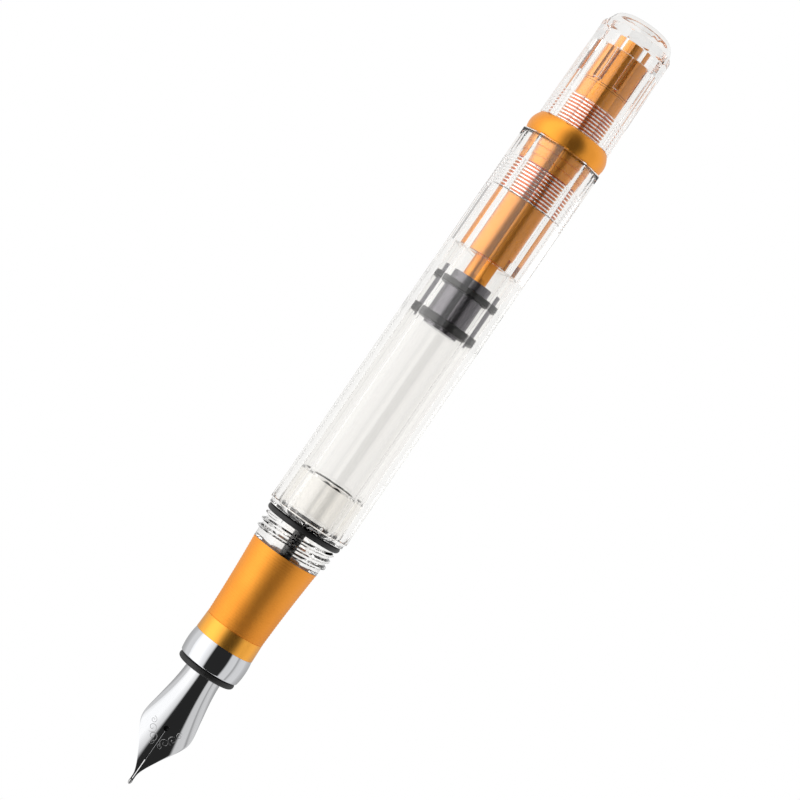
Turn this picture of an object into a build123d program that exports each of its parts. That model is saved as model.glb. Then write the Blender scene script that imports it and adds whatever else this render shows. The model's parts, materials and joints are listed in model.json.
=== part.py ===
from build123d import *
import math
import os

# A piston-filling fountain pen without its cap, lying along X in millimetres.
# The nib points to -X, its top faces +Z, and the pen lies with its lowest edge on Z = 0.
# Stations are distances from the nib tip along the pen; radii are from the pen's axis.

# ---------------------------------------------------------------- clearances
RUNNING_FIT = 0.05
ASSEMBLY_FIT = 0.03
FACE_GAP = 0.05

# ---------------------------------------------------------------- nib and feed
NIB_TAIL_RADIUS = 2.9
NIB_THICKNESS = 0.3
NIB_SLIT = 0.12
NIB_EXPOSED = 19.2
NIB_HIDDEN = 11.0
NIB_SHOULDER_STATION = 9.9
NIB_SHOULDER_WIDTH = 8.16
NIB_TIP_WIDTH = 0.56
NIB_TIP_HEIGHT = 1.0
TIPPING_RADIUS = 0.4
BREATHER_RADIUS = 0.4
FEED_TIP_STATION = 4.2
FEED_STALK_RADIUS = 0.9
FEED_DISC_RADIUS = 2.35
FEED_DISC_LENGTH = 1.0
FEED_FIN_PITCH = 0.62
FEED_FIN_GAP = 0.28
FEED_FIN_COUNT = 14
NIB_COLLAR_WALL = 0.5
NIB_COLLAR_LENGTH = 18.6
NIB_COLLAR_PLAIN = 2.0
NIB_THREAD_PITCH = 0.8
NIB_THREAD_DEPTH = 0.2
FEED_TAIL_LENGTH = 7.6
FEED_PLAY = 0.15

# ---------------------------------------------------------------- section and grip
RING_SECTION = 1.0
SECTION_RING_INSET = 0.33
FRONT_RING_INSET = 0.3
CORE_WALL = 0.5
TRIM_RING_LENGTH = 4.0
TRIM_RING_WALL = 0.97
TRIM_RING_CROWN = 0.2
TRIM_RING_FILLET = 0.25
GRIP_BAND_LENGTH = 2.7
GRIP_RIBBED_LENGTH = 12.8
GRIP_WALL = 0.67
GRIP_FLARE = 0.73
GRIP_BAND_RISE = 0.1
GRIP_RIB_PITCH = 0.4
GRIP_RIB_DEPTH = 0.05
CAP_LAND_LENGTH = 4.2
CAP_THREAD_PITCH = 1.08
CAP_THREAD_STARTS = 2
CAP_THREAD_HEIGHT = 0.49
CAP_THREAD_WIDTH = 0.86
FLANGE_LENGTH = 0.7
STEM_LENGTH = 6.4
STEM_BORE_RADIUS = 3.93
STEM_BEVEL = 0.3
STEM_LEAD_IN = 1.2

# ---------------------------------------------------------------- barrel
FACETS = 10
BARREL_BORE_RADIUS = 5.35
BARREL_WALL = 1.11
BARREL_CHAMFER = 0.2
PISTON_BORE_LENGTH = 45.0
FINE_THREAD_PITCH = 0.53
FINE_THREAD_DEPTH = 0.25
GROOVE_WIDTH = 0.2
GROOVE_DEPTH = 0.12

# ---------------------------------------------------------------- piston
PISTON_LENGTH = 8.7
PISTON_CORE_RADIUS = 3.93
PISTON_PARK_GAP = 3.3
PISTON_NOSE = 0.5
FRONT_SEAL_LENGTH = 1.3
REAR_SEAL_LENGTH = 1.0
REAR_SEAL_SETBACK = 1.4
SEAL_SEAT_DEPTH = 0.7
SEAL_LIP_BEVEL = 0.15
PISTON_TAIL_RELIEF = 0.1
ROD_RADIUS = 1.83
ROD_FLAT_RADIUS = 1.38
ROD_FLAT_SETBACK = 0.8
ROD_SEAT_DEPTH = 7.3
ROD_END_GAP = 0.4
ROD_END_WALL = 0.8
SPINDLE_RADIUS = 0.9
SPINDLE_GROOVE = 0.22
SPINDLE_END_GAP = 0.7
KNOB_TURNS = 3.6
KNOB_LEAD = 1.0
PISTON_LEAD = 7.2

# ---------------------------------------------------------------- mechanism housing
HOUSING_RADIUS = 3.9
HOUSING_SETBACK = 0.3
HOUSING_NOSE_LENGTH = 9.5
REAR_THREAD_LENGTH = 5.3
HOUSING_STEP_LENGTH = 1.33
HOUSING_STEP_RISE = 0.26
HOUSING_STEPS = 3
HOUSING_SPIGOT_LENGTH = 7.3
HOUSING_BORE_RADIUS = 2.6
SPINDLE_BUSH_LENGTH = 2.0
SPINDLE_PLAY = 0.3
BUSH_WALL = 0.45
BUSH_LENGTH = 2.5
NOTCH_WIDTH = 1.7
NOTCH_LENGTH = 1.5
COLLAR_LENGTH = 3.2
COLLAR_FRONT_RADIUS = 6.13
COLLAR_BULGE_RADIUS = 6.43
COLLAR_BULGE_SETBACK = 1.2
COLLAR_REAR_RADIUS = 5.7
WASHER_THICKNESS = 0.25
WASHER_PLAY = 0.1

# ---------------------------------------------------------------- knob
KNOB_THREAD_LENGTH = 4.7
KNOB_FRONT_RADIUS = 5.92
KNOB_TAPER = 0.18
KNOB_TWIST = 15.0
KNOB_DOME_HEIGHT = 2.6
KNOB_END_WALL = 3.45
KNOB_RIBS = 8
KNOB_RIB_WIDTH = 0.8
KNOB_RIB_TWIST = 18.0
KNOB_CAVITY_GAP = 0.4
HEAD_LENGTH = 5.4
HEAD_SLOT_DEPTH = 0.45
HUB_LENGTH = 2.0
HUB_RADIUS = 2.1

# ---------------------------------------------------------------- stations along the pen
front_ring_start = NIB_EXPOSED
trim_start = front_ring_start + RING_SECTION
grip_start = trim_start + TRIM_RING_LENGTH
ribs_start = grip_start + GRIP_BAND_LENGTH
land_start = ribs_start + GRIP_RIBBED_LENGTH
rear_ring_start = land_start + CAP_LAND_LENGTH
flange_start = rear_ring_start + RING_SECTION
barrel_start = flange_start + FLANGE_LENGTH
stem_end = barrel_start + STEM_LENGTH
bore_step = barrel_start + PISTON_BORE_LENGTH
housing_start = bore_step + HOUSING_SETBACK
rear_thread_start = housing_start + HOUSING_NOSE_LENGTH
steps_start = rear_thread_start + REAR_THREAD_LENGTH
barrel_end = steps_start + HOUSING_STEPS * HOUSING_STEP_LENGTH
collar_end = barrel_end + COLLAR_LENGTH
knob_start = collar_end + FACE_GAP
knob_thread_end = collar_end + KNOB_THREAD_LENGTH
housing_end = collar_end + HOUSING_SPIGOT_LENGTH
washer_start = housing_end + FACE_GAP
head_start = washer_start + WASHER_THICKNESS + FACE_GAP
head_end = head_start + HEAD_LENGTH
hub_end = head_end + HUB_LENGTH
pocket_end = hub_end + FACE_GAP
knob_end = pocket_end + KNOB_END_WALL
bush_start = housing_end - SPINDLE_BUSH_LENGTH
piston_rear = bore_step - PISTON_PARK_GAP
piston_front = piston_rear - PISTON_LENGTH

# ---------------------------------------------------------------- radii from the axis outwards
feed_radius = NIB_TAIL_RADIUS - NIB_THICKNESS - ASSEMBLY_FIT
collar_bore = NIB_TAIL_RADIUS + ASSEMBLY_FIT
nib_collar_radius = collar_bore + NIB_COLLAR_WALL
core_bore = nib_collar_radius + ASSEMBLY_FIT
core_radius = core_bore + CORE_WALL
trim_radius = core_radius + TRIM_RING_WALL
grip_neck_radius = core_radius + ASSEMBLY_FIT + GRIP_WALL
land_radius = grip_neck_radius + GRIP_FLARE
flats_radius = BARREL_BORE_RADIUS + BARREL_WALL
corner_radius = flats_radius / math.cos(math.pi / FACETS)
flange_radius = flats_radius - BARREL_CHAMFER
rear_ring_radius = flats_radius - SECTION_RING_INSET
stem_radius = BARREL_BORE_RADIUS - ASSEMBLY_FIT
rod_bore = SPINDLE_RADIUS + RUNNING_FIT
bush_radius = ROD_RADIUS + BUSH_WALL
housing_crest = HOUSING_RADIUS + FINE_THREAD_DEPTH
spigot_crest = HOUSING_RADIUS + RUNNING_FIT
knob_bore = spigot_crest + RUNNING_FIT
head_radius = HOUSING_RADIUS - 2 * RUNNING_FIT
washer_radius = head_radius - WASHER_PLAY
knob_cavity = head_radius + KNOB_CAVITY_GAP

overall = knob_end
axis_height = corner_radius

# ---------------------------------------------------------------- planes and helpers
ALONG = Plane(origin=(-overall / 2, 0, axis_height), x_dir=(1, 0, 0), z_dir=(0, -1, 0))
FROM_ABOVE = Plane(origin=(-overall / 2, 0, axis_height), x_dir=(1, 0, 0), z_dir=(0, 0, 1))
PEN_AXIS = Axis((-overall / 2, 0, axis_height), (1, 0, 0))


def across(station):
    """The plane square to the pen at a station: local x is +Y, local y is +Z."""
    return Plane(origin=(station - overall / 2, 0, axis_height), x_dir=(0, 1, 0), z_dir=(1, 0, 0))


def outline(*points):
    """A closed outline of (station, radius) points, to be turned about the pen's axis.

    A corner that two neighbouring features both give is drawn once.
    """
    corners = []
    for point, before in zip(points, points[-1:] + points[:-1]):
        if math.dist(point, before) > 1e-6:
            corners.append(point)
    with BuildSketch(ALONG) as sketch:
        with BuildLine():
            Polyline(*corners, close=True)
        make_face()
    return sketch.sketch


def tube(start, end, outer, inner):
    """The outline of a plain tube between two stations."""
    return outline((start, inner), (end, inner), (end, outer), (start, outer))


def ring_section(start, outer):
    """The round section of a rubber ring that starts at a station."""
    half = RING_SECTION / 2
    with BuildSketch(ALONG) as sketch:
        with Locations((start + half, outer - half)):
            Circle(half)
    return sketch.sketch


def thread_points(start, end, low, high, pitch):
    """The zigzag of a fine thread from one station to another."""
    turns = max(1, round((end - start) / pitch))
    step = (end - start) / turns
    points = []
    for turn in range(turns):
        points.append((start + turn * step, low))
        points.append((start + (turn + 0.5) * step, high))
    return points + [(end, low)]


def grooved_points(start, end, bore, depth, pitch):
    """A bore from one station to another, cut by narrow grooves at a thread's pitch."""
    turns = max(1, round((end - start) / pitch))
    step = (end - start) / turns
    half = GROOVE_WIDTH / 2
    points = [(start, bore)]
    for turn in range(turns):
        middle = start + (turn + 0.5) * step
        points.append((middle - half, bore))
        points.append((middle, bore + depth))
        points.append((middle + half, bore))
    return points + [(end, bore)]


def export(builder, name):
    """Label the finished piece and write its file."""
    builder.part.label = name
    export_step(builder.part, f"parts/{name}.step")


os.makedirs("parts", exist_ok=True)

# ---------------------------------------------------------------- nib
# The sheet is lofted through curved bands: nearly flat at the tip, open at the shoulders and
# wrapped round the feed at the tail. Each band is (station, crown height, radius, half angle).
nib_start = 1.55 * TIPPING_RADIUS
nib_end = NIB_EXPOSED + NIB_HIDDEN
shoulder_half = NIB_SHOULDER_WIDTH / 2
waist_station = 0.5 * (NIB_SHOULDER_STATION + NIB_EXPOSED)
bands = [
    (nib_start, NIB_TIP_HEIGHT, 2.0 * NIB_TAIL_RADIUS, 9),
    (0.5 * NIB_SHOULDER_STATION, 0.6 * NIB_TAIL_RADIUS, 1.7 * NIB_TAIL_RADIUS, 36),
    (NIB_SHOULDER_STATION, 0.88 * NIB_TAIL_RADIUS, 1.15 * shoulder_half, 66),
    (waist_station, 0.98 * NIB_TAIL_RADIUS, 0.5 * (NIB_TAIL_RADIUS + shoulder_half), 78),
    (NIB_EXPOSED, NIB_TAIL_RADIUS, NIB_TAIL_RADIUS, 88),
]


def band_section(station, crown, radius, half_angle):
    """A band of the nib's sheet, centred on the top of the pen."""
    centre = (0, crown - radius)
    with BuildSketch(across(station)) as sketch:
        with BuildLine():
            outer = CenterArc(centre, radius, 90 - half_angle, 2 * half_angle)
            inner = CenterArc(centre, radius - NIB_THICKNESS, 90 - half_angle, 2 * half_angle)
            Line(outer @ 0, inner @ 0)
            Line(outer @ 1, inner @ 1)
        make_face()
    return sketch.sketch


with BuildPart() as nib:
    loft([band_section(*band).face() for band in bands])
    with BuildSketch(FROM_ABOVE):
        with BuildLine():
            tine = Spline(
                (nib_start, NIB_TIP_WIDTH / 2),
                (0.45 * NIB_SHOULDER_STATION, 0.33 * shoulder_half),
                (NIB_SHOULDER_STATION, shoulder_half),
                tangents=[(1, 0.02), (1, 0)],
            )
            waist = Spline(
                tine @ 1,
                (NIB_EXPOSED, 1.02 * NIB_TAIL_RADIUS),
                tangents=[(1, 0), (1, 0)],
            )
            Polyline(waist @ 1, (NIB_EXPOSED, 0), (nib_start, 0), tine @ 0)
        make_face()
        mirror(about=Plane.XZ)
    extrude(amount=2 * NIB_TAIL_RADIUS, both=True, mode=Mode.INTERSECT)
    extrude(band_section(*bands[-1]), amount=NIB_HIDDEN)
    with BuildSketch(FROM_ABOVE):
        with Locations((NIB_SHOULDER_STATION / 2, 0)):
            Rectangle(NIB_SHOULDER_STATION, NIB_SLIT)
        with Locations((NIB_SHOULDER_STATION, 0)):
            Circle(BREATHER_RADIUS)
    extrude(amount=2 * NIB_TAIL_RADIUS, mode=Mode.SUBTRACT)
export(nib, "nib")

# ---------------------------------------------------------------- tipping pellet
# A hard ball welded on the tip, slit like the tines behind it.
tip_axis_height = NIB_TIP_HEIGHT - NIB_THICKNESS / 2
with BuildPart() as nib_tipping:
    with BuildSketch(FROM_ABOVE.offset(tip_axis_height)):
        with BuildLine():
            back = nib_start - TIPPING_RADIUS
            reach = math.sqrt(TIPPING_RADIUS**2 - back**2)
            ThreePointArc((0, 0), (TIPPING_RADIUS, TIPPING_RADIUS), (nib_start, reach))
            Polyline((nib_start, reach), (nib_start, 0), (0, 0))
        make_face()
    revolve(axis=Axis((-overall / 2, 0, axis_height + tip_axis_height), (1, 0, 0)))
    with BuildSketch(FROM_ABOVE):
        with Locations((0.6 * nib_start, 0)):
            Rectangle(0.9 * nib_start, NIB_SLIT)
    extrude(amount=2 * NIB_TAIL_RADIUS, mode=Mode.SUBTRACT)
export(nib_tipping, "nib_tipping")

# ---------------------------------------------------------------- feed
# Under the nib the feed slopes up to the tip and carries comb fins; inside the collar it is
# full round below the nib's edges, and its thin stalk carries a disc to the ink.
feed_top_gap = 0.25
tail_start = NIB_EXPOSED + NIB_COLLAR_LENGTH
tail_end = tail_start + FEED_TAIL_LENGTH
with BuildPart() as feed:
    with BuildSketch(across(FEED_TIP_STATION)):
        Circle(feed_radius - feed_top_gap / 2)
    extrude(amount=NIB_EXPOSED - FEED_TIP_STATION)
    with BuildSketch(ALONG):
        with BuildLine():
            Polyline(
                (FEED_TIP_STATION, 1.0 * NIB_TIP_HEIGHT),
                (NIB_SHOULDER_STATION, 0.88 * NIB_TAIL_RADIUS - NIB_THICKNESS - feed_top_gap),
                (NIB_EXPOSED, feed_radius - feed_top_gap),
                (NIB_EXPOSED, -1.2 * feed_radius),
                (NIB_EXPOSED - 4.8, -1.2 * feed_radius),
                (NIB_EXPOSED - 5.6, -0.88 * feed_radius),
                (NIB_SHOULDER_STATION - 2.0, -0.55 * feed_radius),
                (FEED_TIP_STATION, 0.4 * NIB_TIP_HEIGHT),
                close=True,
            )
        make_face()
    extrude(amount=feed_radius, both=True, mode=Mode.INTERSECT)
    with BuildSketch(FROM_ABOVE):
        with BuildLine():
            Polyline(
                (FEED_TIP_STATION, -0.3),
                (NIB_SHOULDER_STATION, -0.8 * feed_radius),
                (NIB_EXPOSED - 4.0, -feed_radius),
                (NIB_EXPOSED, -feed_radius),
                (NIB_EXPOSED, feed_radius),
                (NIB_EXPOSED - 4.0, feed_radius),
                (NIB_SHOULDER_STATION, 0.8 * feed_radius),
                (FEED_TIP_STATION, 0.3),
                close=True,
            )
        make_face()
    extrude(amount=2 * feed_radius, both=True, mode=Mode.INTERSECT)
    with BuildSketch(FROM_ABOVE.offset(-0.35 * feed_radius)):
        fins_middle = NIB_EXPOSED - 2.0 - FEED_FIN_PITCH * FEED_FIN_COUNT / 2
        with Locations((fins_middle, 0)):
            with GridLocations(FEED_FIN_PITCH, 1, FEED_FIN_COUNT, 1):
                Rectangle(FEED_FIN_GAP, 3 * feed_radius)
    extrude(amount=-2 * feed_radius, mode=Mode.SUBTRACT)
    with BuildSketch(across(NIB_EXPOSED)):
        with BuildLine():
            upper = CenterArc((0, 0), feed_radius, 0, 180)
            lower = CenterArc((0, 0), NIB_TAIL_RADIUS, 180, 180)
            Line(upper @ 0, lower @ 1)
            Line(upper @ 1, lower @ 0)
        make_face()
    extrude(amount=NIB_HIDDEN)
    revolve(tube(nib_end, tail_start, NIB_TAIL_RADIUS - RUNNING_FIT, 0), axis=PEN_AXIS)
    revolve(tube(tail_start, tail_end - FEED_DISC_LENGTH, FEED_STALK_RADIUS, 0), axis=PEN_AXIS)
    revolve(tube(tail_end - FEED_DISC_LENGTH, tail_end, FEED_DISC_RADIUS, 0), axis=PEN_AXIS)
export(feed, "feed")

# ---------------------------------------------------------------- nib collar
# The threaded sleeve that holds the nib on the feed and screws into the section.
with BuildPart() as nib_collar:
    collar_front = NIB_EXPOSED + 0.1
    collar_root = nib_collar_radius - NIB_THREAD_DEPTH
    collar_thread_start = trim_start + NIB_COLLAR_PLAIN
    collar_thread_end = tail_start - RING_SECTION
    revolve(
        outline(
            (collar_front, collar_bore),
            (tail_start, collar_bore),
            (tail_start, collar_root),
            *reversed(
                thread_points(
                    collar_thread_start, collar_thread_end, collar_root, nib_collar_radius, NIB_THREAD_PITCH
                )
            ),
            (collar_thread_start, nib_collar_radius),
            (collar_front, nib_collar_radius),
        ),
        axis=PEN_AXIS,
    )
export(nib_collar, "nib_collar")

# ---------------------------------------------------------------- section core
# One clear moulding from the front ring to the ink chamber: it carries the trim ring and the
# grip, shows the cap thread behind the grip, and plugs into the barrel with its stem.
front_seat = trim_radius - FRONT_RING_INSET - RING_SECTION
rear_seat = rear_ring_radius - RING_SECTION
tail_bore = FEED_DISC_RADIUS + FEED_PLAY
thread_lead = CAP_THREAD_PITCH * CAP_THREAD_STARTS
thread_margin = 1.0
thread_sink = 0.1
thread_height_along = CAP_LAND_LENGTH - thread_margin - CAP_THREAD_WIDTH / 2 - thread_sink
with BuildPart() as section_core:
    revolve(
        outline(
            (front_ring_start, core_bore),
            (tail_start + 0.2, core_bore),
            (tail_start + 0.2, tail_bore),
            (flange_start, tail_bore),
            (flange_start + STEM_LEAD_IN, STEM_BORE_RADIUS),
            (stem_end, STEM_BORE_RADIUS),
            (stem_end, stem_radius - STEM_BEVEL),
            (stem_end - STEM_BEVEL, stem_radius),
            (barrel_start, stem_radius),
            (barrel_start, flange_radius),
            (flange_start, flange_radius),
            (flange_start, rear_seat),
            (rear_ring_start, rear_seat),
            (rear_ring_start, land_radius),
            (land_start, land_radius),
            (land_start, core_radius),
            (trim_start, core_radius),
            (trim_start, front_seat),
            (front_ring_start, front_seat),
        ),
        axis=PEN_AXIS,
    )
    thread_base = land_radius - thread_sink
    for start in range(CAP_THREAD_STARTS):
        with BuildLine() as thread_path:
            Helix(
                pitch=thread_lead,
                height=thread_height_along,
                radius=thread_base,
                center=(land_start + thread_margin - overall / 2, 0, axis_height),
                direction=(1, 0, 0),
            )
        begin = thread_path.line @ 0
        radial = (begin - Vector(begin.X, 0, axis_height)).normalized()
        with BuildSketch(Plane(origin=begin, x_dir=radial, z_dir=thread_path.line % 0)) as thread_section:
            with BuildLine():
                Polyline(
                    (0, -CAP_THREAD_WIDTH / 2),
                    (CAP_THREAD_HEIGHT + thread_sink, -CAP_THREAD_WIDTH / 8),
                    (CAP_THREAD_HEIGHT + thread_sink, CAP_THREAD_WIDTH / 8),
                    (0, CAP_THREAD_WIDTH / 2),
                    close=True,
                )
            make_face()
        ridge = sweep(thread_section.sketch, path=thread_path.line, is_frenet=True, mode=Mode.PRIVATE)
        add(ridge.rotate(PEN_AXIS, start * 360 / CAP_THREAD_STARTS))
export(section_core, "section_core")

# ---------------------------------------------------------------- rings on the section
with BuildPart() as front_o_ring:
    revolve(ring_section(front_ring_start, front_seat + RING_SECTION), axis=PEN_AXIS)
export(front_o_ring, "front_o_ring")

with BuildPart() as section_o_ring:
    revolve(ring_section(rear_ring_start, rear_ring_radius), axis=PEN_AXIS)
export(section_o_ring, "section_o_ring")

with BuildPart() as trim_ring:
    with BuildSketch(ALONG):
        with BuildLine():
            edge = trim_radius - TRIM_RING_CROWN
            inner = core_radius + ASSEMBLY_FIT
            trim_middle = trim_start + TRIM_RING_LENGTH / 2
            ThreePointArc((trim_start, edge), (trim_middle, trim_radius), (grip_start, edge))
            Polyline((grip_start, edge), (grip_start, inner), (trim_start, inner), (trim_start, edge))
        make_face()
    revolve(axis=PEN_AXIS)
    front_edges = trim_ring.faces().sort_by(Axis.X)[0].edges()
    fillet(front_edges.sort_by(SortBy.LENGTH)[-1], TRIM_RING_FILLET)
export(trim_ring, "trim_ring")

# ---------------------------------------------------------------- grip sleeve
# A smooth band, then fine ribs turned into a flare that widens towards the thread.


def grip_radius(station):
    """The ribbed flare's radius: level at the neck and steeper towards the land."""
    share = (station - ribs_start) / GRIP_RIBBED_LENGTH
    return grip_neck_radius + GRIP_FLARE * (0.55 * share + 0.45 * share**2)


with BuildPart() as grip_sleeve:
    grip_ribs = int(GRIP_RIBBED_LENGTH / GRIP_RIB_PITCH)
    rib_points = []
    for rib in range(grip_ribs):
        station = ribs_start + (rib + 0.5) * GRIP_RIBBED_LENGTH / grip_ribs
        rib_points.append((station - GRIP_RIB_PITCH / 4, grip_radius(station)))
        rib_points.append((station, grip_radius(station) - GRIP_RIB_DEPTH))
        rib_points.append((station + GRIP_RIB_PITCH / 4, grip_radius(station)))
    revolve(
        outline(
            (grip_start, core_radius + ASSEMBLY_FIT),
            (grip_start, grip_neck_radius + GRIP_BAND_RISE),
            (ribs_start, grip_neck_radius),
            *rib_points,
            (land_start, land_radius),
            (land_start, core_radius + ASSEMBLY_FIT),
        ),
        axis=PEN_AXIS,
    )
export(grip_sleeve, "grip_sleeve")

# ---------------------------------------------------------------- barrel
# A clear faceted tube with one edge on top: a wide piston bore in front and, behind a step,
# a narrow threaded bore for the mechanism housing.
rear_bore = HOUSING_RADIUS + 0.1
rear_crest = housing_crest + RUNNING_FIT
step_bore = HOUSING_RADIUS + HOUSING_STEPS * HOUSING_STEP_RISE + RUNNING_FIT
with BuildPart() as barrel:
    with BuildSketch(across(barrel_start)):
        RegularPolygon(flats_radius, FACETS, major_radius=False, rotation=180 / FACETS)
    extrude(amount=barrel_end - barrel_start)
    chamfer(barrel.faces().filter_by(Axis.X).edges(), BARREL_CHAMFER)
    revolve(
        outline(
            (barrel_start, 0),
            (barrel_start, BARREL_BORE_RADIUS),
            (bore_step, BARREL_BORE_RADIUS),
            (bore_step, rear_bore),
            (rear_thread_start, rear_bore),
            *grooved_points(
                rear_thread_start, steps_start, rear_crest, GROOVE_DEPTH, FINE_THREAD_PITCH
            ),
            (steps_start, step_bore),
            (barrel_end, step_bore),
            (barrel_end, 0),
        ),
        axis=PEN_AXIS,
        mode=Mode.SUBTRACT,
    )
export(barrel, "barrel")

# ---------------------------------------------------------------- mechanism housing
# An anodised tube: keyed nose, thread for the barrel, stepped seat, seat for the collar, and
# a threaded spigot that the knob turns on.
with BuildPart() as mechanism_housing:
    steps = []
    for step in range(HOUSING_STEPS):
        radius = HOUSING_RADIUS + (step + 1) * HOUSING_STEP_RISE
        steps.append((steps_start + step * HOUSING_STEP_LENGTH, radius))
        steps.append((steps_start + (step + 1) * HOUSING_STEP_LENGTH, radius))
    collar_seat = steps[-1][1]
    spigot_root = spigot_crest - FINE_THREAD_DEPTH
    revolve(
        outline(
            (housing_start, bush_radius),
            (housing_start, HOUSING_RADIUS),
            (rear_thread_start, HOUSING_RADIUS),
            *thread_points(rear_thread_start, steps_start, HOUSING_RADIUS, housing_crest, FINE_THREAD_PITCH),
            *steps,
            (collar_end, collar_seat),
            *thread_points(collar_end, knob_thread_end, spigot_root, spigot_crest, FINE_THREAD_PITCH),
            (housing_end, spigot_root),
            (housing_end, HOUSING_BORE_RADIUS),
            (housing_start + BUSH_LENGTH, HOUSING_BORE_RADIUS),
            (housing_start + BUSH_LENGTH, bush_radius),
        ),
        axis=PEN_AXIS,
    )
    with BuildSketch(FROM_ABOVE):
        with Locations((housing_start, -(bush_radius + HOUSING_RADIUS) / 2)):
            Rectangle(2 * NOTCH_LENGTH, NOTCH_WIDTH)
    extrude(amount=2 * HOUSING_RADIUS, mode=Mode.SUBTRACT)
export(mechanism_housing, "mechanism_housing")


def keyed_section(plane, radius, flat):
    """A round with two flats: the rod's section, which keeps it from turning."""
    with BuildSketch(plane) as sketch:
        Circle(radius)
        Rectangle(4 * radius, 2 * flat, rotation=45, mode=Mode.INTERSECT)
    return sketch.sketch


with BuildPart() as guide_bush:
    revolve(tube(housing_start, housing_start + BUSH_LENGTH, bush_radius - ASSEMBLY_FIT, 0), axis=PEN_AXIS)
    extrude(
        keyed_section(across(housing_start), ROD_RADIUS + RUNNING_FIT, ROD_FLAT_RADIUS + RUNNING_FIT),
        amount=BUSH_LENGTH,
        mode=Mode.SUBTRACT,
    )
export(guide_bush, "guide_bush")

# The plain bush that steadies the spindle at the rear of the housing.
with BuildPart() as spindle_bush:
    revolve(
        tube(bush_start, housing_end, HOUSING_BORE_RADIUS - ASSEMBLY_FIT, SPINDLE_RADIUS + SPINDLE_PLAY),
        axis=PEN_AXIS,
    )
export(spindle_bush, "spindle_bush")

# ---------------------------------------------------------------- collar
with BuildPart() as collar:
    with BuildSketch(ALONG):
        with BuildLine():
            collar_inner = collar_seat + ASSEMBLY_FIT
            bulge = Spline(
                (barrel_end, COLLAR_FRONT_RADIUS),
                (barrel_end + COLLAR_BULGE_SETBACK, COLLAR_BULGE_RADIUS),
                (collar_end, COLLAR_REAR_RADIUS),
            )
            Polyline(bulge @ 1, (collar_end, collar_inner), (barrel_end, collar_inner), bulge @ 0)
        make_face()
    revolve(axis=PEN_AXIS)
export(collar, "collar")

# ---------------------------------------------------------------- piston
# The seals glide in the barrel's bore; the rod is keyed by the bush and driven by the spindle.
front_seal_start = piston_front + PISTON_NOSE
front_seal_end = front_seal_start + FRONT_SEAL_LENGTH
rear_seal_end = piston_rear - REAR_SEAL_SETBACK
rear_seal_start = rear_seal_end - REAR_SEAL_LENGTH
seal_seat = PISTON_CORE_RADIUS - SEAL_SEAT_DEPTH
piston_tail_radius = PISTON_CORE_RADIUS - PISTON_TAIL_RELIEF
rod_front = piston_rear - ROD_SEAT_DEPTH
rod_rear = bush_start - ROD_END_GAP
with BuildPart() as piston_core:
    revolve(
        outline(
            (piston_front, 0),
            (piston_front, seal_seat),
            (front_seal_end, seal_seat),
            (front_seal_end, PISTON_CORE_RADIUS),
            (rear_seal_start, PISTON_CORE_RADIUS),
            (rear_seal_start, seal_seat),
            (rear_seal_end, seal_seat),
            (rear_seal_end, piston_tail_radius),
            (piston_rear, piston_tail_radius),
            (piston_rear, ROD_RADIUS + ASSEMBLY_FIT),
            (rod_front, ROD_RADIUS + ASSEMBLY_FIT),
            (rod_front, 0),
        ),
        axis=PEN_AXIS,
    )
export(piston_core, "piston_core")


def seal(start, end):
    """The outline of a seal that bulges from its seat to the bore, thinner at its lip."""
    lip = BARREL_BORE_RADIUS - RUNNING_FIT
    return outline(
        (start, seal_seat + ASSEMBLY_FIT),
        (end, seal_seat + ASSEMBLY_FIT),
        (end, lip - SEAL_LIP_BEVEL),
        (end - SEAL_LIP_BEVEL, lip),
        (start + SEAL_LIP_BEVEL, lip),
        (start, lip - SEAL_LIP_BEVEL),
    )


with BuildPart() as front_seal:
    revolve(seal(front_seal_start, front_seal_end - ASSEMBLY_FIT), axis=PEN_AXIS)
export(front_seal, "front_seal")

with BuildPart() as rear_seal:
    revolve(seal(rear_seal_start + ASSEMBLY_FIT, rear_seal_end - ASSEMBLY_FIT), axis=PEN_AXIS)
export(rear_seal, "rear_seal")

with BuildPart() as piston_rod:
    flats_start = piston_rear + ROD_FLAT_SETBACK
    revolve(tube(rod_front, flats_start, ROD_RADIUS, 0), axis=PEN_AXIS)
    extrude(keyed_section(across(flats_start), ROD_RADIUS, ROD_FLAT_RADIUS), amount=rod_rear - flats_start)
    revolve(tube(rod_front + ROD_END_WALL, rod_rear, rod_bore, 0), axis=PEN_AXIS, mode=Mode.SUBTRACT)
export(piston_rod, "piston_rod")

# ---------------------------------------------------------------- spindle
# A quick screw in the rod's bore, with a splined head that the knob's ribs grip.
spindle_front = rod_front + ROD_END_WALL + SPINDLE_END_GAP
groove_margin = 0.5
head_slot_width = KNOB_RIB_WIDTH + 2 * RUNNING_FIT
with BuildPart() as spindle:
    revolve(tube(spindle_front, head_start, SPINDLE_RADIUS, 0), axis=PEN_AXIS)
    with BuildLine() as groove_path:
        Helix(
            pitch=KNOB_LEAD + PISTON_LEAD,
            height=rod_rear - spindle_front - 2 * groove_margin,
            radius=SPINDLE_RADIUS,
            center=(spindle_front + groove_margin - overall / 2, 0, axis_height),
            direction=(1, 0, 0),
        )
    with BuildSketch(Plane(origin=groove_path.line @ 0, z_dir=groove_path.line % 0)) as groove_section:
        Circle(SPINDLE_GROOVE)
    groove = sweep(groove_section.sketch, path=groove_path.line, is_frenet=True, mode=Mode.PRIVATE)
    add(groove, mode=Mode.SUBTRACT)
    add(groove.rotate(PEN_AXIS, 180), mode=Mode.SUBTRACT)
    revolve(tube(head_start, head_end, head_radius, 0), axis=PEN_AXIS)
    with BuildSketch(across(head_start)):
        with PolarLocations(head_radius, KNOB_RIBS, start_angle=90 + KNOB_RIB_TWIST):
            Rectangle(2 * HEAD_SLOT_DEPTH, head_slot_width)
    extrude(amount=HEAD_LENGTH, mode=Mode.SUBTRACT)
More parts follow.
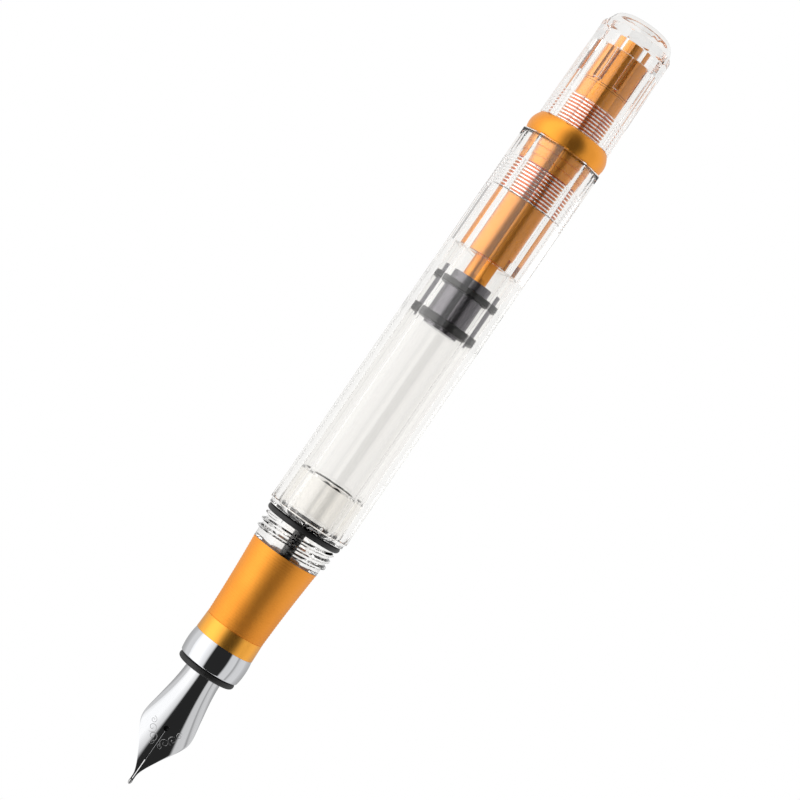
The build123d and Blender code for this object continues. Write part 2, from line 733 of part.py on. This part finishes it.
export(spindle, "spindle")

with BuildPart() as spindle_hub:
    revolve(tube(head_end, hub_end, HUB_RADIUS, 0), axis=PEN_AXIS)
    with BuildSketch(across(hub_end)):
        Rectangle(1.5 * HUB_RADIUS, 0.5)
    extrude(amount=-0.5, mode=Mode.SUBTRACT)
export(spindle_hub, "spindle_hub")

with BuildPart() as thrust_washer:
    washer_end = washer_start + WASHER_THICKNESS
    revolve(tube(washer_start, washer_end, washer_radius, SPINDLE_RADIUS + WASHER_PLAY), axis=PEN_AXIS)
export(thrust_washer, "thrust_washer")

# ---------------------------------------------------------------- knob
# A clear faceted cap with a shallow dome: thread in its mouth, a ribbed cavity that grips the
# spindle's head, and a pocket for the hub.
knob_length = knob_end - knob_start
dome_start = knob_end - KNOB_DOME_HEIGHT
dome_rim = KNOB_FRONT_RADIUS - KNOB_TAPER - 0.35
rib_setback = 0.3
rib_overlap = 0.2
with BuildPart() as knob:
    with BuildSketch(across(knob_start)):
        RegularPolygon(KNOB_FRONT_RADIUS, FACETS, rotation=90 - KNOB_TWIST)
    extrude(amount=knob_length, taper=math.degrees(math.atan(KNOB_TAPER / (dome_start - knob_start))))
    with BuildSketch(ALONG):
        with BuildLine():
            dome = Spline(
                (dome_start, KNOB_FRONT_RADIUS),
                (dome_start + 0.55 * KNOB_DOME_HEIGHT, dome_rim - 0.5),
                (knob_end, 0),
                tangents=[(0.35, -1), (0, -1)],
            )
            Polyline(dome @ 1, (knob_start, 0), (knob_start, KNOB_FRONT_RADIUS), dome @ 0)
        make_face()
    revolve(axis=PEN_AXIS, mode=Mode.INTERSECT)
    revolve(
        outline(
            (knob_start, 0),
            *grooved_points(knob_start, knob_thread_end, knob_bore, GROOVE_DEPTH, FINE_THREAD_PITCH),
            (knob_thread_end, knob_cavity),
            (head_end, knob_cavity),
            (head_end, HUB_RADIUS + RUNNING_FIT),
            (pocket_end, HUB_RADIUS + RUNNING_FIT),
            (pocket_end, 0),
        ),
        axis=PEN_AXIS,
        mode=Mode.SUBTRACT,
    )
    with BuildSketch(across(head_start + rib_setback)):
        rib_root = knob_cavity + rib_overlap
        rib_reach = rib_root - (head_radius - HEAD_SLOT_DEPTH + RUNNING_FIT)
        rib_middle = rib_root - rib_reach / 2
        with PolarLocations(rib_middle, KNOB_RIBS, start_angle=90 + KNOB_RIB_TWIST):
            Rectangle(rib_reach, KNOB_RIB_WIDTH)
    extrude(amount=HEAD_LENGTH - rib_setback)
export(knob, "knob")

print("length", round(overall, 2), "axis height", round(axis_height, 3))
print("piston travel", round(KNOB_TURNS * PISTON_LEAD, 2), "knob rise", round(KNOB_TURNS * KNOB_LEAD, 2))
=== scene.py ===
import bpy
import bmesh
import json
import math
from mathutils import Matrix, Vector


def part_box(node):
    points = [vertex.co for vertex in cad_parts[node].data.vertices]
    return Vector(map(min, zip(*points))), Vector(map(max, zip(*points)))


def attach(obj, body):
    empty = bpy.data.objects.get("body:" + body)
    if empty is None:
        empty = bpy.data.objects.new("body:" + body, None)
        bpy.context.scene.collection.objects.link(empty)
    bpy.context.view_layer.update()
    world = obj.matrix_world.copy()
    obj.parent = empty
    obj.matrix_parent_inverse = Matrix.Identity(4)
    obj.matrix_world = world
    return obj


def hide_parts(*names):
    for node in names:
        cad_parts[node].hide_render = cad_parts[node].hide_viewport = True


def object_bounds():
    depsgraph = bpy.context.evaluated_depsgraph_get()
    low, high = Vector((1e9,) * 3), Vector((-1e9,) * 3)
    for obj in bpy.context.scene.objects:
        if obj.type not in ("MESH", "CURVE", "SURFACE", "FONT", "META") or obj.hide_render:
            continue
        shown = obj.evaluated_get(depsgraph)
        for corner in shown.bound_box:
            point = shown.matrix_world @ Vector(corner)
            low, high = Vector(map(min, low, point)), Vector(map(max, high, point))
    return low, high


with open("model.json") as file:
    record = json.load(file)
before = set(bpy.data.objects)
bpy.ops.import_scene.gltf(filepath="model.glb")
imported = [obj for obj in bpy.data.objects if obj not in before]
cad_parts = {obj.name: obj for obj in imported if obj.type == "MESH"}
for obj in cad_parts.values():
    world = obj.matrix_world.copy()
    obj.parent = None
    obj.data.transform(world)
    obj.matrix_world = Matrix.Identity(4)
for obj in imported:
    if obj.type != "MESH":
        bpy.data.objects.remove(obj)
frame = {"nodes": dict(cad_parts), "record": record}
nodes = frame["nodes"]
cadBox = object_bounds()
mm = 0.001
tipX = cadBox[0].x
gripLow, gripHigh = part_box("grip_sleeve")
axisZ = (gripLow.z + gripHigh.z) / 2
print("frame loaded")


def span(node):  # first station, last station and radius of a round node, in mm from the nib tip
    low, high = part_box(node)
    return (low.x - tipX) / mm, (high.x - tipX) / mm, (high.y - low.y) / 2 / mm


def place(station, y, height):  # a point in metres, from a station, a side shift and a height over the axis
    return Vector((tipX + station * mm, y * mm, axisZ + height * mm))


def hexColour(text):  # sRGB hex to linear RGBA
    channels = [int(text[i:i + 2], 16) / 255 for i in (1, 3, 5)]
    linear = [c / 12.92 if c <= 0.04045 else ((c + 0.055) / 1.055) ** 2.4 for c in channels]
    return (*linear, 1)


def addNode(tree, kind, links=None, **settings):  # one node with its settings, values and incoming links
    node = tree.nodes.new(kind)
    for key, value in settings.items():
        if hasattr(node, key):
            setattr(node, key, value)
        else:
            node.inputs[key.replace("_", " ")].default_value = value
    for name, source in (links or {}).items():
        tree.links.new(source, node.inputs[name])
    return node


def newMaterial(name):
    material = bpy.data.materials.new(name)
    material.use_nodes = True
    material.node_tree.nodes.clear()
    return material, material.node_tree


# the camera looks straight down on the lying pen and is turned so that the pen climbs to the right
cameraLook = {
    "distance": 300.0,       # mm above the pen's axis
    "station": 67.3,         # mm from the nib tip
    "aside": -1.0,           # mm towards the pen's right
    "penAngle": 55.56,       # degrees that the pen climbs in the picture
    "focalLength": 94.0,
    "sensorWidth": 36.0,
}
cameraData = bpy.data.cameras.new("camera")
cameraData.lens = cameraLook["focalLength"]
cameraData.sensor_width = cameraLook["sensorWidth"]
camera = bpy.data.objects.new("camera", cameraData)
camera.location = place(cameraLook["station"], cameraLook["aside"], cameraLook["distance"])
camera.rotation_euler = (0, 0, -math.radians(cameraLook["penAngle"]))
bpy.context.scene.collection.objects.link(camera)
bpy.context.scene.camera = camera

# the studio is a white tent with a dark strip overhead, which the metal mirrors; rays that pass
# through the clear plastic meet a second set of values; angles are degrees from straight up, plus
# towards -Y
studioLook = {
    "mirrored": [
        (-178, 0.9), (-140, 1.0), (-104, 1.0), (-76, 1.7), (-46, 1.7), (-22, 1.1), (-14, 0.03),
        (44, 0.03), (50, 0.95), (72, 1.0), (78, 0.5), (86, 0.95), (140, 0.8),
    ],
    "seenThrough": [
        (-178, 1.0), (-110, 1.15), (-78, 2.1), (-44, 2.1), (-16, 1.3), (-6, 0.1), (22, 0.1),
        (36, 0.6), (60, 0.7), (110, 0.6), (150, 0.9),
    ],
    "floorSize": 2.0,        # metres
    "floorShade": 0.3,       # how dark the painted shadow on the paper is in mirrors, close beside the nib
    "floorShadeBehind": 0.8,  # and beside the barrel
    "shadeStations": (20.0, 40.0),  # mm from the nib tip, where the shade changes over
    "floorShadeReach": 26.0,  # mm from the pen's axis
    "floorShadeThrough": 0.93,  # the same painted shadow as the clear plastic sees it
    "bounces": 32,
}
world = bpy.data.worlds.new("white tent")
bpy.context.scene.world = world
world.use_nodes = True
tree = world.node_tree
tree.nodes.clear()
coords = addNode(tree, "ShaderNodeTexCoord")
split = addNode(tree, "ShaderNodeSeparateXYZ", {"Vector": coords.outputs["Generated"]})
minusY = addNode(tree, "ShaderNodeMath", {0: split.outputs["Y"]}, operation="MULTIPLY")
minusY.inputs[1].default_value = -1
turn = addNode(tree, "ShaderNodeMath", {0: minusY.outputs[0], 1: split.outputs["Z"]}, operation="ARCTAN2")
share = addNode(tree, "ShaderNodeMapRange", {"Value": turn.outputs[0]}, From_Min=-math.pi, From_Max=math.pi)


def tentRamp(stops):  # the tent's brightness round the pen
    node = addNode(tree, "ShaderNodeValToRGB", {"Fac": share.outputs[0]})
    node.color_ramp.elements.remove(node.color_ramp.elements[0])
    for index, (angle, value) in enumerate(stops):
        where = (angle + 180) / 360
        stop = node.color_ramp.elements.new(where) if index else node.color_ramp.elements[0]
        stop.position = where
        stop.color = (value, value, value, 1)
    return node.outputs[0]


path = addNode(tree, "ShaderNodeLightPath")
tent = addNode(tree, "ShaderNodeMix", data_type="RGBA")
tree.links.new(path.outputs["Is Transmission Ray"], tent.inputs["Factor"])
tree.links.new(tentRamp(studioLook["mirrored"]), tent.inputs[6])
tree.links.new(tentRamp(studioLook["seenThrough"]), tent.inputs[7])
glow = addNode(tree, "ShaderNodeBackground", {"Color": tent.outputs[2]})
addNode(tree, "ShaderNodeOutputWorld", {"Surface": glow.outputs[0]})

bpy.ops.mesh.primitive_plane_add(size=studioLook["floorSize"], location=(0, 0, 0))
floor = bpy.context.object
floor.name = "floor"
# the paper glows evenly white to the camera; in reflections and through the clear plastic it shows a
# painted shadow, darker close to the pen's axis and darkest beside the nib
paper, tree = newMaterial("white paper floor with painted shadow")
coords = addNode(tree, "ShaderNodeTexCoord")
split = addNode(tree, "ShaderNodeSeparateXYZ", {"Vector": coords.outputs["Object"]})
beside = addNode(tree, "ShaderNodeMath", {0: split.outputs["Y"]}, operation="ABSOLUTE")
reach = studioLook["floorShadeReach"] * mm
fade = [tipX + station * mm for station in studioLook["shadeStations"]]
darkestPaintedShadow = addNode(
    tree, "ShaderNodeMapRange", {"Value": split.outputs["X"]}, From_Min=fade[0], From_Max=fade[1],
    To_Min=studioLook["floorShade"], To_Max=studioLook["floorShadeBehind"],
)
mirrored = addNode(
    tree, "ShaderNodeMapRange", {"Value": beside.outputs[0], "To Min": darkestPaintedShadow.outputs[0]},
    From_Max=reach,
)
seenThrough = addNode(
    tree, "ShaderNodeMapRange", {"Value": beside.outputs[0]},
    From_Max=reach, To_Min=studioLook["floorShadeThrough"],
)
path = addNode(tree, "ShaderNodeLightPath")
pick = addNode(tree, "ShaderNodeMix", {
    "Factor": path.outputs["Is Transmission Ray"], 2: mirrored.outputs[0], 3: seenThrough.outputs[0],
})
seen = addNode(tree, "ShaderNodeMix", {"Factor": path.outputs["Is Camera Ray"], 2: pick.outputs[0]})
seen.inputs[3].default_value = 1.0
shade = addNode(tree, "ShaderNodeEmission", {"Strength": seen.outputs[0]}, Color=hexColour("#FFFFFF"))
addNode(tree, "ShaderNodeOutputMaterial", {"Surface": shade.outputs[0]})
floor.data.materials.append(paper)
bpy.context.scene.view_settings.view_transform = "Standard"
# light bounces many times between the clear walls and threads before it leaves them
bpy.context.scene.cycles.max_bounces = studioLook["bounces"]
bpy.context.scene.cycles.glossy_bounces = studioLook["bounces"]
bpy.context.scene.cycles.transmission_bounces = studioLook["bounces"]
print("camera and studio ready")


def surfaceNoise(tree, grain, stretch=(1, 1, 1), detail=3.0):  # noise whose grain is a size in mm
    coords = addNode(tree, "ShaderNodeTexCoord")
    mapping = addNode(tree, "ShaderNodeMapping", {"Vector": coords.outputs["Object"]}, Scale=stretch)
    return addNode(
        tree, "ShaderNodeTexNoise", {"Vector": mapping.outputs[0]},
        Scale=1 / (grain * mm), Detail=detail,
    )


clearLook = {
    "colour": "#FAF9F7",
    "waveWidth": 1.6,        # mm
    "waveStretch": 0.04,     # the waves run along the pen
    "waveDepth": 0.03,       # mm
    "waveStrength": 0.25,
    "refraction": 1.585,
}


def clearPolycarbonate():
    # Injection moulded and polished polycarbonate: water clear and sharp, with a faint drawn
    # waviness along the moulding that breaks reflections into streaks.
    material, tree = newMaterial("polished polycarbonate")
    stretch = (clearLook["waveStretch"], 1, 1)
    waves = surfaceNoise(tree, clearLook["waveWidth"], stretch=stretch, detail=1.0)
    bump = addNode(
        tree, "ShaderNodeBump", {"Height": waves.outputs["Fac"]},
        Strength=clearLook["waveStrength"], Distance=clearLook["waveDepth"] * mm,
    )
    shader = addNode(
        tree, "ShaderNodeBsdfPrincipled", {"Normal": bump.outputs[0]},
        Base_Color=hexColour(clearLook["colour"]), Roughness=0.0, IOR=clearLook["refraction"],
        Transmission_Weight=1.0,
    )
    addNode(tree, "ShaderNodeOutputMaterial", {"Surface": shader.outputs[0]})
    return material


metalLook = {
    "driftSize": 7.0,        # mm over which tone and gloss drift
    "glossDrift": 0.15,      # as a share of the roughness
    "grainStrength": 0.5,
}


def metal(name, colour, worn, roughness, grain, stretch, depth):
    # A metal whose tone and gloss drift a little, with a fine surface grain. The grain's size and
    # depth are in mm.
    material, tree = newMaterial(name)
    drift = surfaceNoise(tree, metalLook["driftSize"])
    tone = addNode(tree, "ShaderNodeMix", {"Factor": drift.outputs["Fac"]}, data_type="RGBA")
    tone.inputs[6].default_value = hexColour(colour)
    tone.inputs[7].default_value = hexColour(worn)
    gloss = addNode(
        tree, "ShaderNodeMapRange", {"Value": drift.outputs["Fac"]},
        To_Min=roughness * (1 - metalLook["glossDrift"]),
        To_Max=roughness * (1 + metalLook["glossDrift"]),
    )
    grains = surfaceNoise(tree, grain, stretch)
    bump = addNode(
        tree, "ShaderNodeBump", {"Height": grains.outputs["Fac"]},
        Strength=metalLook["grainStrength"], Distance=depth * mm,
    )
    shader = addNode(
        tree, "ShaderNodeBsdfPrincipled",
        {"Base Color": tone.outputs[2], "Roughness": gloss.outputs[0], "Normal": bump.outputs[0]},
        Metallic=1.0,
    )
    addNode(tree, "ShaderNodeOutputMaterial", {"Surface": shader.outputs[0]})
    return material


def darkMoulding(name, colour, worn, roughness, grain, depth):
    # Black plastic or rubber out of a spark-eroded mould: satin, with a fine even grain.
    material, tree = newMaterial(name)
    grains = surfaceNoise(tree, grain)
    tone = addNode(tree, "ShaderNodeMix", {"Factor": grains.outputs["Fac"]}, data_type="RGBA")
    tone.inputs[6].default_value = hexColour(colour)
    tone.inputs[7].default_value = hexColour(worn)
    bump = addNode(
        tree, "ShaderNodeBump", {"Height": grains.outputs["Fac"]}, Strength=0.6, Distance=depth * mm
    )
    shader = addNode(
        tree, "ShaderNodeBsdfPrincipled", {"Base Color": tone.outputs[2], "Normal": bump.outputs[0]},
        Roughness=roughness,
    )
    addNode(tree, "ShaderNodeOutputMaterial", {"Surface": shader.outputs[0]})
    return material


turned = (1, 0.05, 0.05)  # grain drawn out round the pen, as turning leaves it
# each metal: name, colour, worn colour, roughness, grain size, grain stretch and grain depth
finishes = {
    "clear_polycarbonate": clearPolycarbonate(),
    "orange_anodised": metal(
        "bead blasted anodised aluminium", "#F7A640", "#EE9938", 0.4, 0.12, (1, 1, 1), 0.005
    ),
    "nib_steel": metal("polished stainless steel", "#CDCDCE", "#C4C5C7", 0.07, 0.3, turned, 0.0008),
    "tipping_alloy": metal("ground tipping alloy", "#B4B4B4", "#9C9C9C", 0.2, 0.05, (1, 1, 1), 0.002),
    "chrome_plate": metal("chrome plate over brass", "#D2D3D5", "#CACBCE", 0.035, 1.2, (1, 1, 1), 0.0006),
    "dark_anodised": metal("dark hard anodised aluminium", "#77747A", "#636166", 0.2, 0.15, turned, 0.001),
    "black_plastic": darkMoulding("black acetal", "#0B0B0C", "#141414", 0.3, 0.25, 0.003),
    "black_rubber": darkMoulding("nitrile rubber", "#080808", "#121111", 0.5, 0.18, 0.004),
}
gripFinish = metal("ribbed anodised aluminium", "#F8A843", "#EE9B3A", 0.54, 0.1, (1, 1, 1), 0.012)
# the band's own finish is smoother, with a fine turned grain; its colour is also painted lighter than the
# grip's orange, a painted highlight
bandFinishAndPaintedHighlight = metal("fine turned anodised aluminium, painted lighter", "#FBB24A", "#F6AC45", 0.34, 0.2, turned, 0.001)
slots = {row["node"]: row["material_slot"] for row in frame["record"]["subparts"]}
for name, node in nodes.items():
    node.data.materials.clear()
    node.data.materials.append(finishes[slots[name]])
print("materials ready")


def finishPiece(bm, name, finish, sharp=35.0):
    # a mesh object from a bmesh, shaded smooth but for its sharp edges
    bmesh.ops.triangulate(bm, faces=[face for face in bm.faces if len(face.verts) > 4])
    bmesh.ops.recalc_face_normals(bm, faces=bm.faces)
    mesh = bpy.data.meshes.new(name)
    bm.to_mesh(mesh)
    bm.free()
    mesh.shade_smooth()
    mesh.set_sharp_from_angle(angle=math.radians(sharp))
    mesh.materials.append(finish)
    piece = bpy.data.objects.new(name, mesh)
    bpy.context.scene.collection.objects.link(piece)
    return piece


def settle(piece, body, slot, *replaced):  # a finished piece rides on its body and stands for its CAD nodes
    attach(piece, body)
    if replaced:
        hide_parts(*replaced)


def alongKeys(keys, station):  # a smooth curve through (station, value) keys
    spots = [keys[0], *keys, keys[-1]]
    for before, start, end, after in zip(spots, spots[1:], spots[2:], spots[3:]):
        if station <= end[0] and end[0] > start[0]:
            step = max(0.0, (station - start[0]) / (end[0] - start[0]))
            first = (end[1] - before[1]) / (end[0] - before[0]) * (end[0] - start[0])
            last = (after[1] - start[1]) / (after[0] - start[0]) * (end[0] - start[0])
            a = 2 * start[1] - 2 * end[1] + first + last
            b = 3 * end[1] - 3 * start[1] - 2 * first - last
            return ((a * step + b) * step + first) * step + start[1]
    return keys[-1][1]


def applyModifiers(piece):
    graph = bpy.context.evaluated_depsgraph_get()
    mesh = bpy.data.meshes.new_from_object(piece.evaluated_get(graph))
    piece.modifiers.clear()
    piece.data = mesh


def makeLathe(name, profile, finish, steps=128, edge=0.0, sharp=35.0):
    # a ring turned about the pen's axis from (station, radius) points, its corners rounded by edge mm
    bm = bmesh.new()
    corners = [bm.verts.new(place(station, 0, radius)) for station, radius in profile]
    for start, end in zip(corners, corners[1:] + corners[:1]):
        bm.edges.new((start, end))
    if edge:
        bmesh.ops.bevel(
            bm, geom=corners, affect="VERTICES", offset=edge * mm, offset_type="OFFSET", segments=2,
            profile=0.5, material=-1, clamp_overlap=True,
        )
    bmesh.ops.spin(
        bm, geom=bm.verts[:] + bm.edges[:], cent=place(0, 0, 0), axis=(1, 0, 0), angle=math.tau,
        steps=steps, use_merge=True,
    )
    return finishPiece(bm, name, finish, sharp)


# grip: a smooth band, then fine turned ribs on a flare
gripLook = {
    "band": 2.7,             # mm of smooth band in front
    "bandRise": 0.1,         # how much thicker the band's front is than the neck
    "flare": 0.73,
    "wall": 0.6,
    "ribPitch": 0.42,
    "ribDepth": 0.07,
    "ribRise": 0.3,          # where on its pitch a rib reaches full height
    "ribFall": 0.7,          # and where it leaves it
    "flareBend": 0.45,       # 0 for a straight flare, 1 for one that opens only at its end
    "endStep": 0.02,         # how far the last rib stays under the sleeve's end
    "steps": 160,
    "bandEdge": 0.06,        # mm of rounding
}


def makeGrip():
    start, end, largest = span("grip_sleeve")
    ribsStart = start + gripLook["band"]
    ribbed = end - ribsStart
    ribs = int(ribbed / gripLook["ribPitch"])
    pitch = ribbed / ribs
    neck = largest - gripLook["flare"]
    bore = neck - gripLook["wall"]
    profile = [(ribsStart, bore)]
    for rib in range(ribs):
        station = ribsStart + rib * pitch
        share = (station - ribsStart) / ribbed
        bend = gripLook["flareBend"]
        radius = neck + gripLook["flare"] * ((1 - bend) * share + bend * share ** 2)
        profile += [
            (station, radius - gripLook["ribDepth"]),
            (station + gripLook["ribRise"] * pitch, radius),
            (station + gripLook["ribFall"] * pitch, radius),
        ]
    profile += [(end, largest - gripLook["endStep"]), (end, bore)]
    return makeLathe("grip_sleeve_ribbed", profile, gripFinish, steps=gripLook["steps"], sharp=60)


def makeGripBand():
    start, _, largest = span("grip_sleeve")
    end = start + gripLook["band"]
    neck = largest - gripLook["flare"]
    bore = neck - gripLook["wall"]
    profile = [(start, bore), (start, neck + gripLook["bandRise"]), (end, neck), (end, bore)]
    return makeLathe("grip_band", profile, bandFinishAndPaintedHighlight, gripLook["steps"], gripLook["bandEdge"])


settle(makeGrip(), "barrel", "orange_anodised", "grip_sleeve")
settle(makeGripBand(), "barrel", "orange_anodised")
print("grip ready")

# nib: a curved sheet, flat at the tip and wrapped round the feed at the tail
nibLook = {
    "start": 0.45,
    "end": 27.0,
    "thickness": 0.3,
    "halfWidth": [
        (0.45, 0.24), (2.2, 0.36), (5.0, 1.66), (8.6, 3.8), (10.0, 4.07), (13.0, 3.62), (16.5, 3.07),
        (19.2, 2.87), (27.0, 2.87),
    ],
    "curve": [(0.45, 7.5), (5.0, 7.5), (10.0, 5.4), (14.0, 3.9), (17.0, 3.15), (19.2, 2.9), (27.0, 2.9)],
    "crown": [(0.45, 0.98), (5.0, 1.85), (10.0, 2.52), (14.5, 2.82), (19.2, 2.9), (27.0, 2.9)],
    "slit": 0.1,
    "holeStation": 9.9,
    "holeRadius": 0.4,
    "rows": (90, 28),        # faces along and across
    "cutHeight": 3.0,        # where the cutters stand over the axis, mm
    "cutDepth": 8.0,
    "slitLead": 0.1,         # how far the slit's cutter starts before the tip, mm
    "edge": 0.03,            # mm of rounding on the rims
}


def nibHeight(station, y):  # the nib's upper face over the axis, in mm
    radius = alongKeys(nibLook["curve"], station)
    return alongKeys(nibLook["crown"], station) - radius + math.sqrt(max(0.0, radius ** 2 - y ** 2))


def makeNib():
    bm = bmesh.new()
    along, across = nibLook["rows"]
    bmesh.ops.create_grid(bm, x_segments=along, y_segments=across, size=0.5)
    for vert in bm.verts:
        station = nibLook["start"] + (vert.co.x + 0.5) * (nibLook["end"] - nibLook["start"])
        radius = alongKeys(nibLook["curve"], station)
        half = math.asin(min(0.998, alongKeys(nibLook["halfWidth"], station) / radius))
        angle = 2 * vert.co.y * half
        low = alongKeys(nibLook["crown"], station) - radius
        vert.co = place(station, radius * math.sin(angle), low + radius * math.cos(angle))
    bmesh.ops.recalc_face_normals(bm, faces=bm.faces)
    if sum(face.normal.z for face in bm.faces) < 0:
        bmesh.ops.reverse_faces(bm, faces=bm.faces)
    bmesh.ops.solidify(bm, geom=bm.faces[:], thickness=nibLook["thickness"] * mm)
    nib = finishPiece(bm, "nib_sheet", finishes["nib_steel"])
    cutter = bmesh.new()
    hole = place(nibLook["holeStation"], 0, nibLook["cutHeight"])
    holeRadius = nibLook["holeRadius"] * mm
    bmesh.ops.create_cone(
        cutter, cap_ends=True, segments=32, radius1=holeRadius, radius2=holeRadius,
        depth=nibLook["cutDepth"] * mm,
    )
    bmesh.ops.translate(cutter, vec=hole, verts=cutter.verts)
    knife = finishPiece(cutter, "hole_cutter", finishes["nib_steel"])
    cutter = bmesh.new()
    bmesh.ops.create_cube(cutter, size=1)
    slitSize = [nibLook[key] * mm for key in ("holeStation", "slit", "cutDepth")]
    slitMiddle = nibLook["holeStation"] / 2 - nibLook["slitLead"]
    bmesh.ops.scale(cutter, vec=slitSize, verts=cutter.verts)
    bmesh.ops.translate(cutter, vec=place(slitMiddle, 0, nibLook["cutHeight"]), verts=cutter.verts)
    blade = finishPiece(cutter, "slit_cutter", finishes["nib_steel"])
    for tool in (knife, blade):
        cut = nib.modifiers.new("cut", "BOOLEAN")
        cut.object = tool
        cut.operation = "DIFFERENCE"
    edge = nib.modifiers.new("rounded edges", "BEVEL")
    edge.width = nibLook["edge"] * mm
    edge.segments = 2
    edge.angle_limit = math.radians(50)
    applyModifiers(nib)
    for tool in (knife, blade):
        bpy.data.objects.remove(tool)
    nib.data.shade_smooth()
    nib.data.set_sharp_from_angle(angle=math.radians(40))
    return nib


settle(makeNib(), "barrel", "nib_steel", "nib")
print("nib ready")

# the welded tip: a small pellet, longer than it is wide, ground level with the tines
tipLook = {"length": 0.95, "width": 0.58, "height": 0.62, "over": 0.82}


def makeTipping():
    bm = bmesh.new()
    bmesh.ops.create_uvsphere(bm, u_segments=40, v_segments=24, radius=0.5 * mm)
    bmesh.ops.scale(bm, vec=(tipLook["length"], tipLook["width"], tipLook["height"]), verts=bm.verts)
    bmesh.ops.translate(bm, vec=place(tipLook["length"] / 2, 0, tipLook["over"]), verts=bm.verts)
    return finishPiece(bm, "nib_pellet", finishes["tipping_alloy"])


settle(makeTipping(), "barrel", "tipping_alloy", "nib_tipping")

# engraved scrolls beside the breather hole: fine bright lines on the sheet
scrollLook = {
    "line": 0.04,
    "turns": 1.3,
    "points": 40,
    "reachOut": 1.5,         # a curl's outer and inner reach, as shares of its size
    "reachIn": 0.25,
    # station, distance from the middle, size, start angle and sense of each curl on a side
    "curls": [
        (7.9, 1.0, 0.5, 200, 1), (7.1, 0.75, 0.32, 20, -1),
        (8.9, 1.75, 0.5, 170, 1), (9.9, 2.2, 0.34, 20, -1),
    ],
}


def makeScrolls():
    curve = bpy.data.curves.new("nib_scrolls", "CURVE")
    curve.dimensions = "3D"
    curve.bevel_depth = scrollLook["line"] * mm
    curve.bevel_resolution = 1
    for side in (-1, 1):
        for station, across, size, start, sense in scrollLook["curls"]:
            spline = curve.splines.new("POLY")
            spline.points.add(scrollLook["points"] - 1)
            for index, point in enumerate(spline.points):
                done = index / (scrollLook["points"] - 1)
                angle = math.radians(start + sense * done * 360 * scrollLook["turns"])
                shrink = scrollLook["reachOut"] - scrollLook["reachIn"]
                reach = size * (scrollLook["reachOut"] - shrink * done)
                along = station + reach * math.cos(angle)
                out = side * (across + reach * math.sin(angle))
                point.co = (*place(along, out, nibHeight(along, out)), 1)
    piece = bpy.data.objects.new("nib_scrolls", curve)
    bpy.context.scene.collection.objects.link(piece)
    graph = bpy.context.evaluated_depsgraph_get()
    mesh = bpy.data.meshes.new_from_object(piece.evaluated_get(graph))
    bpy.data.objects.remove(piece)
    bm = bmesh.new()
    bm.from_mesh(mesh)
    bpy.data.meshes.remove(mesh)
    bmesh.ops.holes_fill(bm, edges=bm.edges)
    return finishPiece(bm, "nib_scrolls", finishes["tipping_alloy"])


settle(makeScrolls(), "barrel", "nib_steel")
print("scrolls ready")
